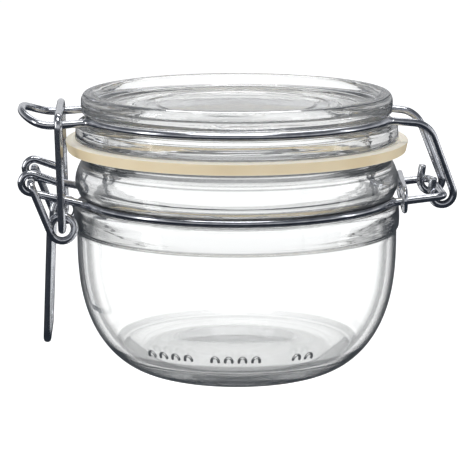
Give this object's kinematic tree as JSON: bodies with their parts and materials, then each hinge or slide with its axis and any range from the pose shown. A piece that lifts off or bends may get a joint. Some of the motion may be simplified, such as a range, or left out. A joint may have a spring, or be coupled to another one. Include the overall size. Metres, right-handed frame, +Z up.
{
  "type": "terrine jar",
  "caption": "Low round glass terrine jar with a rounded bowl, closed by a ridged glass lid, a rubber gasket and a wire bail with a lever.",
  "frame": {"origin": "centre of the jar's base, on the surface that it stands on", "axes": "+Z up along the jar's axis, +X from the latch towards the lid's hinge, Y along the hinge's crossbar"},
  "size_m": [0.1207, 0.095, 0.0779],
  "materials": {
    "clear_glass": "smooth clear pressed glass, very slightly green grey at its edges",
    "cream_rubber": "matt natural rubber",
    "bright_steel_wire": "bright drawn steel wire, nearly mirror smooth"
  },
  "bodies": {
    "jar": {"jar_glass": "clear_glass", "neck_wire": "bright_steel_wire", "tie_ring": "bright_steel_wire"},
    "lid": {"lid_glass": "clear_glass", "gasket": "cream_rubber", "lid_wire": "bright_steel_wire"},
    "lever": {"lever": "bright_steel_wire"},
    "bail": {"bail": "bright_steel_wire"}
  },
  "joints": [
    {"name": "lid_hinge", "type": "hinge", "parent": "jar", "child": "lid", "pos_m": [0.0561, 0, 0.0502], "axis": [0, 1, 0], "range_deg": [0, 105]},
    {"name": "lever_pivot", "type": "hinge", "parent": "jar", "child": "lever", "pos_m": [-0.0567, 0, 0.0544], "axis": [0, 1, 0], "range_deg": [0, 150], "deforming": ["bail"]},
    {"name": "bail_pivot", "type": "hinge", "parent": "lever", "child": "bail", "pos_m": [-0.0483, 0, 0.0421], "axis": [0, 1, 0], "range_deg": [-150, 0]}
  ],
  "couplings": [
    {"joint": "bail_pivot", "follows": "lever_pivot", "ratio": -1}
  ]
}
